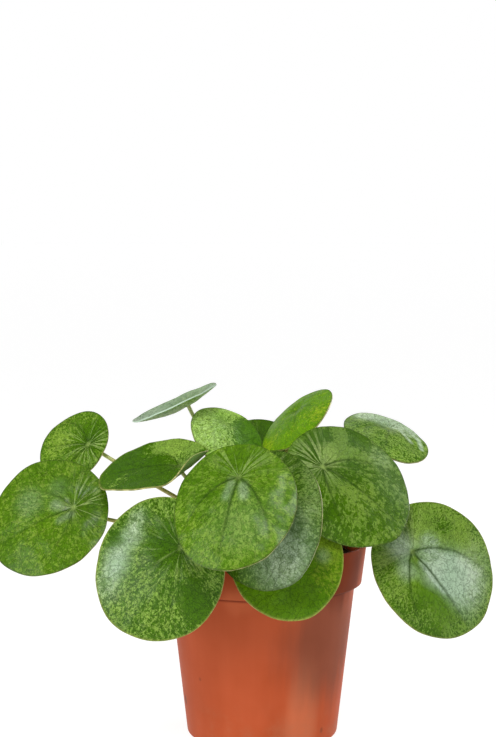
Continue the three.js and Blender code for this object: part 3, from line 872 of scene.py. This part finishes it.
def relief(leaf, number, share, angle, flat):
    """What stands out of the smooth blade: grooves, puffed skin, ribs and a waving margin."""
    size = min(leaf["size"]) / 70
    far, bearing = flat.length, math.atan2(flat.x, flat.y)
    gap = vein_distance(leaf, share, bearing, far)
    fade = min(1, far / (HUB_FADE * size)) * (1 - share ** 2)
    depth = size * fade * leaf["ridges"]
    height = -GROOVE_DEPTH * depth * math.exp(-(gap / GROOVE_WIDTH) ** 2)
    puff = 1 - math.exp(-(gap / (PUFF_WIDTH * size)) ** 2)
    height += PUFF * depth * puff * (1 - short_side(bearing))
    height += RIB_HEIGHT * size * fade * short_side(bearing) * math.cos(RIB_COUNT * bearing)
    wave = math.sin(3 * angle + 1.7 * number) + 0.5 * math.sin(7 * angle + number)
    height += MARGIN_WAVE * size * wave * share ** 5
    place = Vector((flat.x, flat.y, NOISE_APART * number))
    uneven = noise.noise(place * UNEVEN_PER_MM)
    uneven += 0.35 * noise.noise((place + Vector((0, 0, 9))) * UNEVEN_FINE_PER_MM)
    return height + UNEVEN_HEIGHT * size * uneven * min(1, far / 6)


# %% [markdown]
# ## Making a blade
#
# One spoke of vertices, close together at the hub and at the margin, is spun round into a disc.
# Each vertex then moves to its place on the leaf. Solidify gives the blade its thickness and, by
# its material offsets, a paler underside and a pale cut edge, and a small bevel rounds the edge.
# The vertices also carry what the finish has to know: the flat place on the leaf, so that the
# pattern follows the surface, and how pale, grooved or ribbed the blade is there.

# %% Build one blade
BLADE_THICKNESS = 0.8
SECTORS = 144
RINGS = 34
BUD_SECTORS = 48
BUD_RINGS = 12
EVEN_RINGS = 0.35       # 0 crowds the rings at the hub and the margin, 1 spaces them evenly
MARGIN_WIDTH = 0.9
HUB_SPOT = 2.2          # how far the pale spot over the stalk reaches
HUB_BLUR = 1.4
PLACES_PER_MM = 0.1     # the pattern's own unit is a centimetre
SEED_STEP = 7           # how far apart the leaves lie in the noises
EDGE_ROUNDING = 0.25
BLADE_DATA = ("leaf_place", "leaf_look", "leaf_relief", "leaf_painted_sheen_tone_grain", "leaf_hub")


def disc_of_spokes(sectors, rings):
    """A disc of radius 1 with rings that close up towards the hub and the margin."""
    shares = [0.5 - 0.5 * math.cos(math.pi * ring / rings) for ring in range(rings + 1)]
    shares = [EVEN_RINGS * even / rings + (1 - EVEN_RINGS) * share
              for even, share in enumerate(shares)]
    return spun([(share, 0, 0) for share in shares], sectors, 1e-5)


def sum_of_patches(patches, flat):
    """Adds up soft round patches (x, y, radius, strength) and strokes (x, y, x, y, radius, ...)."""
    total = 0
    for *ends, radius, strength in patches:
        start, stroke = Vector(ends[:2]), Vector(ends[-2:]) - Vector(ends[:2])
        share = (flat - start).dot(stroke) / max(stroke.length_squared, 1e-9)
        nearest = start + stroke * min(max(share, 0), 1)
        total += strength * math.exp(-((flat - nearest).length / radius) ** 3)
    return total


def blade_data(leaf, number, share, flat):
    """What the finish has to know at a place, in the order of BLADE_DATA."""
    far, bearing = flat.length, math.atan2(flat.x, flat.y)
    gap = vein_distance(leaf, share, bearing, far)
    groove = math.exp(-(gap / GROOVE_WIDTH) ** 2) * (1 - share ** 3) * leaf["ridges"]
    ray = streaks(leaf, share, bearing, far) * leaf["crown"]
    spot = min(max((HUB_SPOT - far) / HUB_BLUR, 0), 1) * leaf["crown"]
    margin = max(0, 1 - (1 - share) * (min(leaf["size"]) / 2) / MARGIN_WIDTH)
    cover = leaf["cover"] + sum_of_patches(leaf["patches"], flat)
    cover += in_panel(leaf, "cover_by_panel", share, bearing, far)
    contrast = max(leaf["contrast"] - sum_of_patches(leaf["calm"], flat), 0.1)
    painted_sheen = sum_of_patches(leaf["painted_sheen"], flat)
    painted_sheen += in_panel(leaf, "painted_sheen_by_panel", share, bearing, far)
    return ((*(flat * PLACES_PER_MM), number * SEED_STEP), (cover, contrast, leaf["youth"]),
            (groove, ray, margin), (painted_sheen, leaf["tone"], 1 / leaf["grain"]),
            (spot, leaf["rim"], 0))


def make_blade(leaf, number, finishes):
    sectors, rings = (BUD_SECTORS, BUD_RINGS) if leaf["bud"] else (SECTORS, RINGS)
    blade = disc_of_spokes(sectors, rings)
    layers = [blade.verts.layers.float_vector.new(name) for name in BLADE_DATA]
    across, along, out = leaf_axes(leaf)
    to_leaf = Matrix((across, along, out)).transposed()
    hub = Vector(leaf["hub"])
    for vert in blade.verts:
        share, angle = vert.co.length, math.atan2(vert.co.y, vert.co.x)
        place, flat = blade_place(leaf, number, share, angle)
        for layer, values in zip(layers, blade_data(leaf, number, share, flat)):
            vert[layer] = values
        vert.co = (hub + to_leaf @ place) * MM
    blade.normal_update()
    if sum(face.normal.dot(out) for face in blade.faces) < 0:
        bmesh.ops.reverse_faces(blade, faces=blade.faces)
    name = f"blade_{number:02d}"
    piece = finish_piece(blade, name, finishes, [f"leaf_blade_{number:02d}"], sharp=70)
    body = piece.modifiers.new("thickness", "SOLIDIFY")
    body.thickness = BLADE_THICKNESS * MM
    body.offset = 0
    body.material_offset = 1
    body.material_offset_rim = 2
    edge = piece.modifiers.new("soft_edge", "BEVEL")
    edge.width = EDGE_ROUNDING * MM
    edge.segments = 2
    edge.limit_method = "ANGLE"
    edge.angle_limit = math.radians(60)
    return piece


# %% [markdown]
# ## The finish of the blades
#
# This variety is marbled: a dark green and a pale lime green break up into thousands of small
# flecks, denser here and thinner there, and every leaf does it differently. Two noises, one fine
# and one broad, are added to the leaf's own cover, and a soft step turns the sum into flecks
# with crisp edges. On the short side of the hub the flecks stretch into rays, so there the noise
# reads only the direction from the hub. A satin coat over it all mirrors the soft boxes.
# Where the skin looks silvery, a silvery sheen is painted into the colour as well: a painted
# highlight.

# %% Upper side
LEAF_DARK = paint("3a6102")
LEAF_MIDDLE = paint("527a06")
LEAF_PALE = paint("7b9c45")
LEAF_RAY = paint("9ab272")
LEAF_YOUNG = paint("629208")
LEAF_YOUNG_PALE = paint("8ba812")
LEAF_GROOVE = paint("2c4a0a")
LEAF_HUB = paint("9cb860")
# painted highlight: the colour of the painted silvery sheen
LEAF_PAINTED_SHEEN = paint("a8bfab")
LEAF_MARGIN = paint("3f4f1c")
LEAF_RIM = paint("b0b45a")
FLECK_SCALE = 8.5       # flecks to a centimetre
CLUSTER_SCALE = 3.2
GRAIN_SCALE = 14
NET_SCALE = 2.6
SKIN_DEPTH = 0.0007
FLECK_EDGE = (0.765, 0.815)     # the flecks turn from dark to pale between these
RAY_EDGE = (0.62, 0.69)
BROAD_TINTS = (0.82, 0.86, 0.75, 1), (1.12, 1.06, 1.0, 1)
GRAIN_TINTS = (0.6, 0.65, 0.4, 1), (1.28, 1.22, 1.2, 1)


def from_hub(tree, place):
    """The direction in which a place on the leaf lies from its hub."""
    return vector_step(tree, "NORMALIZE", stretched(tree, place, (1, 1, 0)))


def marbling(tree, place, unit, cover, fineness):
    """Where the skin is pale, from 0 to 1, and the fine and the broad noise behind it."""
    fanned = vector_step(tree, "ADD", unit, stretched(tree, place, (0.62, 0.62, 1)))
    fanned = vector_step(tree, "SCALE", fanned, fineness)
    fleck = noise_of(tree, fanned, FLECK_SCALE, detail=5, roughness=0.7, distortion=0.4)
    cluster = noise_of(tree, fanned, CLUSTER_SCALE, detail=3, roughness=0.6, distortion=0.6)
    amount = arithmetic(tree, "MULTIPLY_ADD", fleck, 0.7, times(tree, cluster, 0.3))
    amount = arithmetic(tree, "MULTIPLY_ADD", cover, 0.6, amount)
    return soft_step(tree, amount, *FLECK_EDGE), fleck, cluster


def marbled_leaf():
    material, tree, shader = new_finish("marbled_leaf", Coat_Weight=0.22, Coat_Roughness=0.26,
                                        Specular_IOR_Level=0.02)
    place = attribute_of(tree, "leaf_place")
    cover, contrast, youth = three_of(tree, "leaf_look")
    groove, ray, margin = three_of(tree, "leaf_relief")
    painted_sheen, tone, fineness = three_of(tree, "leaf_painted_sheen_tone_grain")
    spot, rim, _ = three_of(tree, "leaf_hub")

    unit = from_hub(tree, place)
    pale, fleck, cluster = marbling(tree, place, unit, cover, fineness)
    marbled = blend_colours(tree, pale, LEAF_DARK, LEAF_PALE)
    colour = blend_colours(tree, contrast, LEAF_MIDDLE, marbled)
    young = blend_colours(tree, pale, LEAF_YOUNG, LEAF_YOUNG_PALE)
    colour = blend_colours(tree, youth, colour, young)

    around = vector_step(tree, "ADD", unit, stretched(tree, place, (0.05, 0.05, 1)))
    rays = noise_of(tree, around, 6.5, detail=2, roughness=0.6)
    rays = arithmetic(tree, "MULTIPLY_ADD", cover, 0.3, rays)
    ray_colour = two_tone(tree, rays, *RAY_EDGE, LEAF_DARK, LEAF_RAY)
    colour = blend_colours(tree, times(tree, ray, 0.75), colour, ray_colour)

    broken = soft_step(tree, arithmetic(tree, "ADD", fleck, cluster), 1.15, 0.85)
    broken = times(tree, broken, times(tree, contrast, 0.75))
    # painted highlight: a silvery sheen painted where the leaf would mirror a soft box, broken by
    # the flecks
    painted_sheen_share = times(tree, painted_sheen, arithmetic(tree, "SUBTRACT", 1.0, broken), limit=True)
    colour = blend_colours(tree, times(tree, painted_sheen_share, 0.4), colour, LEAF_MIDDLE)
    colour = blend_colours(tree, painted_sheen_share, colour, LEAF_PAINTED_SHEEN)
    colour = vector_step(tree, "SCALE", colour, tone)
    broad = noise_of(tree, place, 0.5, detail=2)
    colour = tinted(tree, colour, two_tone(tree, broad, 0.3, 0.7, *BROAD_TINTS))
    grain = noise_of(tree, place, GRAIN_SCALE, detail=4, roughness=0.7)
    colour = tinted(tree, colour, two_tone(tree, grain, 0.35, 0.65, *GRAIN_TINTS), contrast)

    warped = vector_step(tree, "ADD", place, cluster)
    net = add_node(tree, "ShaderNodeTexVoronoi",
                   {"Vector": warped, "Scale": NET_SCALE, "Randomness": 0.95},
                   feature="DISTANCE_TO_EDGE").outputs["Distance"]
    vein = soft_step(tree, net, 0.06, 0.0)
    vein_share = arithmetic(tree, "MULTIPLY_ADD", painted_sheen, 0.22, 0.16)
    vein_share = times(tree, vein_share, arithmetic(tree, "ADD", contrast, 0.3))
    colour = blend_colours(tree, times(tree, vein, vein_share, limit=True), colour, LEAF_GROOVE)
    # the main veins are a darker green, and painted shade in their shallow grooves darkens the line
    # further
    groove_shade_share = times(tree, groove, 0.7, limit=True)
    colour = blend_colours(tree, groove_shade_share, colour, LEAF_GROOVE)
    colour = blend_colours(tree, times(tree, spot, 0.75), colour, LEAF_HUB)
    rim_colour = blend_colours(tree, rim, LEAF_MARGIN, LEAF_RIM)
    colour = blend_colours(tree, times(tree, margin, 0.7), colour, rim_colour)

    height = arithmetic(tree, "MULTIPLY_ADD", grain, 0.35, fleck)
    height = arithmetic(tree, "SUBTRACT", height, times(tree, vein, 0.5))
    connect(tree, shader, Base_Color=colour, Normal=bump_of(tree, height, SKIN_DEPTH, 0.9),
            Roughness=arithmetic(tree, "MULTIPLY_ADD", cluster, 0.22, 0.38))
    return material


# %% [markdown]
# The underside is paler and dull. The marbling goes right through the thin blade, so it shows
# there too, but fainter, and the veins stand out of it. The cut edge of the blade is a thin,
# nearly yellow line, which shows along the lower rim of the front leaves, and it is silvery
# where the skin beside it is.
# That silvery tint is the same painted sheen as on the upper side.

# %% Underside and cut edge
UNDERSIDE = paint("668c3c")
UNDERSIDE_PALE = paint("94b064")
UNDERSIDE_VEIN = paint("9bae74")
CUT_EDGE = paint("bdb878")
CUT_EDGE_DARK = paint("7c8040")


def leaf_underside():
    material, tree, shader = new_finish("leaf_underside", Roughness=0.55, Specular_IOR_Level=0.35)
    place = attribute_of(tree, "leaf_place")
    cover, fineness = three_of(tree, "leaf_look")["X"], three_of(tree, "leaf_painted_sheen_tone_grain")["Z"]
    pale, _, _ = marbling(tree, place, from_hub(tree, place), cover, fineness)
    colour = blend_colours(tree, pale, UNDERSIDE, UNDERSIDE_PALE)
    colour = blend_colours(tree, three_of(tree, "leaf_relief")["X"], colour, UNDERSIDE_VEIN)
    pores = noise_of(tree, place, 25, detail=3)
    connect(tree, shader, Base_Color=colour, Normal=bump_of(tree, pores, 0.0002, 0.5))
    return material


def cut_edge():
    material, tree, shader = new_finish("cut_edge", Roughness=0.5, Specular_IOR_Level=0.35)
    cloud = noise_of(tree, attribute_of(tree, "leaf_place"), 2.2, detail=2)
    colour = two_tone(tree, cloud, 0.35, 0.65, CUT_EDGE, CUT_EDGE_DARK)
    # painted highlight: the edge takes the painted silvery sheen of the skin beside it
    painted_sheen = three_of(tree, "leaf_painted_sheen_tone_grain")["X"]
    connect(tree, shader, Base_Color=two_tone(tree, painted_sheen, 0.1, 0.9, colour, LEAF_PAINTED_SHEEN))
    return material


LEAF_FINISHES = [marbled_leaf(), leaf_underside(), cut_edge()]

# %% Make all the blades
blades = [make_blade(leaf, number, LEAF_FINISHES) for number, leaf in enumerate(LEAVES, start=1)]
print("blades:", len(blades), "with", sum(triangles(blade) for blade in blades) * 2, "triangles")

# %% [markdown]
# ## The stem
#
# The short trunk is brown and corky below and green at its growing tip. Every leaf that it ever
# carried left a scar, so it is ringed with small shelves. A circle is extruded upwards in many
# short steps, each a little wider or narrower than the last, and where a stalk leaves it the
# bark swells into a cushion.

# %% Sizes of the stem
STEM_FOOT = Vector((-2, 4, 98))
STEM_TOP = Vector((0, 2, 146))
STEM_FOOT_RADIUS = 4.6
STEM_TOP_RADIUS = 3.4
STEM_DEPTH = 14
STEM_SIDES = 28
STEM_RISE = 0.6         # height of one step
TIP_HEIGHT = 3
TIP_RADIUS = 1.2
SCAR_HEIGHT = 0.22      # how far the shelves of the leaf scars stand out
BARK_ROUGHNESS = 0.25
CUSHION_HEIGHT = 0.9
CUSHION_RADIUS = 1.9


def stem_point(height):
    share = (height - STEM_FOOT.z) / (STEM_TOP.z - STEM_FOOT.z)
    return STEM_FOOT.lerp(STEM_TOP, share)


def stem_radius(height):
    share = max(0, (height - STEM_FOOT.z) / (STEM_TOP.z - STEM_FOOT.z))
    return STEM_FOOT_RADIUS + share * (STEM_TOP_RADIUS - STEM_FOOT_RADIUS)


# %% The way of a stalk
STALK_RADIUS = 1.1
BUD_STALK_RADIUS = 0.8
STALK_GAP = 0.35


def stalk_way(leaf):
    """The four points of the curve from the side of the stem to the hub, as in the CAD source."""
    _, _, out = leaf_axes(leaf)
    radius = BUD_STALK_RADIUS if leaf["bud"] else STALK_RADIUS
    hub = Vector(leaf["hub"])
    middle = stem_point(leaf["foot"])
    away = (hub - middle) * Vector((1, 1, 0))
    reach = leaf.get("reach", 0.35 * away.length)
    if "leave" in leaf:
        angle = math.radians(leaf["leave"])
        away = Vector((math.cos(angle), math.sin(angle), 0))
    away.normalize()
    slant = leaf["rise"] / math.hypot(leaf["rise"], reach)
    foot = middle + away * (stem_radius(leaf["foot"]) + STALK_GAP + radius * slant)
    first_handle = foot + away * reach + Vector((0, 0, leaf["rise"]))
    handle = out * -leaf["drop"] + Vector(leaf["sway"])
    tilt = out.cross(handle).length / handle.length
    end = hub - out * (BLADE_THICKNESS / 2 + STALK_GAP + radius * tilt)
    return foot, first_handle, end + handle, end


WAYS = [stalk_way(leaf) for leaf in LEAVES]


# %% Build the stem
def make_stem(finish):
    heights = [SOIL_TOP - STEM_DEPTH]
    while heights[-1] + STEM_RISE < STEM_TOP.z + TIP_HEIGHT:
        heights.append(heights[-1] + STEM_RISE)
    stem = bmesh.new()
    for height, ring in zip(heights, stack_of_rings(stem, STEM_SIDES, len(heights))):
        beyond = max(0, height - STEM_TOP.z) / TIP_HEIGHT
        radius = stem_radius(min(height, STEM_TOP.z))
        radius += (TIP_RADIUS - radius) * beyond ** 2
        radius += SCAR_HEIGHT * math.sin(height * 1.9) + 0.1 * math.sin(height * 4.3)
        for vert in ring:
            side = vert.co.xy.normalized()
            rough = noise.fractal(Vector((side.x * 3, side.y * 3, height * 0.5)), 1.0, 2.0, 3)
            centre = stem_point(height)
            place = Vector((centre.x, centre.y, height))
            place += Vector((side.x, side.y, 0)) * (radius + BARK_ROUGHNESS * rough)
            vert.co = place * MM
    for foot, _, _, _ in WAYS:
        for vert in stem.verts:
            apart = (vert.co / MM - foot).length
            push = CUSHION_HEIGHT * math.exp(-(apart / CUSHION_RADIUS) ** 2)
            if push > 0.02:
                vert.co += (foot * MM - vert.co).normalized() * push * MM
    bmesh.ops.recalc_face_normals(stem, faces=stem.faces)
    return finish_piece(stem, "trunk", [finish], ["stem"], sharp=60)


# %% Finish of the stem
BARK_DARK = paint("3f2f1e")
BARK_LIGHT = paint("8a7350")
STEM_GREEN = paint("7d8f45")
GREEN_FROM = (0.128, 0.147)     # the heights between which the bark turns green


def corky_bark():
    material, tree, shader = new_finish("corky_bark", Roughness=0.85, Specular_IOR_Level=0.3)
    place = object_place(tree)
    cork = noise_of(tree, place, 500, detail=4, roughness=0.7)
    colour = two_tone(tree, cork, 0.35, 0.65, BARK_DARK, BARK_LIGHT)
    colour = two_tone(tree, parts_of(tree, place)["Z"], *GREEN_FROM, colour, STEM_GREEN)
    connect(tree, shader, Base_Color=colour, Normal=bump_of(tree, cork, 0.0004, 0.8))
    return material


stem_piece = make_stem(corky_bark())
print("trunk:", triangles(stem_piece), "triangles")

# %% [markdown]
# ## The stalks
#
# A stalk is a smooth round rod, reddish at its foot and green under the blade, a little thicker
# at both ends. It could be a curve with a bevel, but a curve carries no data for the finish. So
# a small circle is extruded along the way, ring by ring, and every ring notes how far along the
# stalk it lies.

# %% Build one stalk
STALK_SIDES = 12
STALK_STEPS = 30
FOOT_SINK = 0.9         # how far the stalk reaches into the bark
HUB_SINK = 0.75         # how far it reaches into the blade
FOOT_SWELL = 0.55       # how much thicker it is at its foot, as a share
HUB_SWELL = 0.3         # and under the blade


def along_way(way, share):
    a, b, c, d = way
    rest = 1 - share
    return (a * rest ** 3 + b * 3 * rest * rest * share + c * 3 * rest * share * share
            + d * share ** 3)


def make_stalk(leaf, number, way, finish):
    radius = BUD_STALK_RADIUS if leaf["bud"] else STALK_RADIUS
    points = [along_way(way, i / STALK_STEPS) for i in range(STALK_STEPS + 1)]
    points.insert(0, points[0] - (points[1] - points[0]).normalized() * FOOT_SINK)
    points.append(points[-1] + (points[-1] - points[-2]).normalized() * HUB_SINK)
    stalk = bmesh.new()
    share_layer = stalk.verts.layers.float_vector.new("stalk_share")
    facing = Vector((0, 0, 1)).rotation_difference(points[1] - points[0])
    for i, ring in enumerate(stack_of_rings(stalk, STALK_SIDES, len(points))):
        ahead = points[min(i + 1, len(points) - 1)] - points[max(i - 1, 0)]
        facing = (facing @ Vector((0, 0, 1))).rotation_difference(ahead) @ facing
        share = i / (len(points) - 1)
        thick = radius * (1.2 - 0.16 * share + FOOT_SWELL * math.exp(-share / 0.035)
                          + HUB_SWELL * math.exp(-(1 - share) / 0.03))
        for corner, vert in enumerate(ring):
            angle = FULL_TURN * corner / STALK_SIDES
            spoke = facing @ Vector((math.cos(angle), math.sin(angle), 0))
            vert.co = (points[i] + spoke * thick) * MM
            vert[share_layer] = (share, number * SEED_STEP, 0)
    bmesh.ops.recalc_face_normals(stalk, faces=stalk.faces)
    name = f"stalk_{number:02d}"
    return finish_piece(stalk, name, [finish], [f"leaf_stalk_{number:02d}"], sharp=60)


# %% Finish of the stalks
STALK_RED = paint("966438")
STALK_OLIVE = paint("b0a558")
STALK_GREEN = paint("b2be72")


def satin_stalk():
    material, tree, shader = new_finish("satin_stalk", Roughness=0.4, Coat_Weight=0.2,
                                        Coat_Roughness=0.3)
    share = three_of(tree, "stalk_share")["X"]
    place = object_place(tree)
    uneven = noise_of(tree, place, 90, detail=3)
    way = arithmetic(tree, "MULTIPLY_ADD", uneven, 0.3, arithmetic(tree, "SUBTRACT", share, 0.15))
    colour = two_tone(tree, way, 0.0, 0.4, STALK_RED, STALK_OLIVE)
    colour = two_tone(tree, way, 0.55, 0.95, colour, STALK_GREEN)
    skin = noise_of(tree, place, 900, detail=2)
    connect(tree, shader, Base_Color=colour, Normal=bump_of(tree, skin, 0.0001, 0.4))
    return material


STALK_FINISH = satin_stalk()
stalks = [make_stalk(leaf, number, way, STALK_FINISH)
          for number, (leaf, way) in enumerate(zip(LEAVES, WAYS), start=1)]
print("stalks:", len(stalks), "with", sum(triangles(stalk) for stalk in stalks), "triangles")

# %% [markdown]
# ## Measure and finish
#
# The dressed plant must not be larger than its CAD model. The CAD's box is printed at the start of
# the script, and here how far each side of the dressed model's box lies from it, in mm.

# %% Boxes and the last line
low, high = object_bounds()
grown = [round((b - a) / MM, 2) for a, b in zip((*cad_low, *cad_high), (*low, *high))]
print("visual box against the CAD box, in mm:", grown)
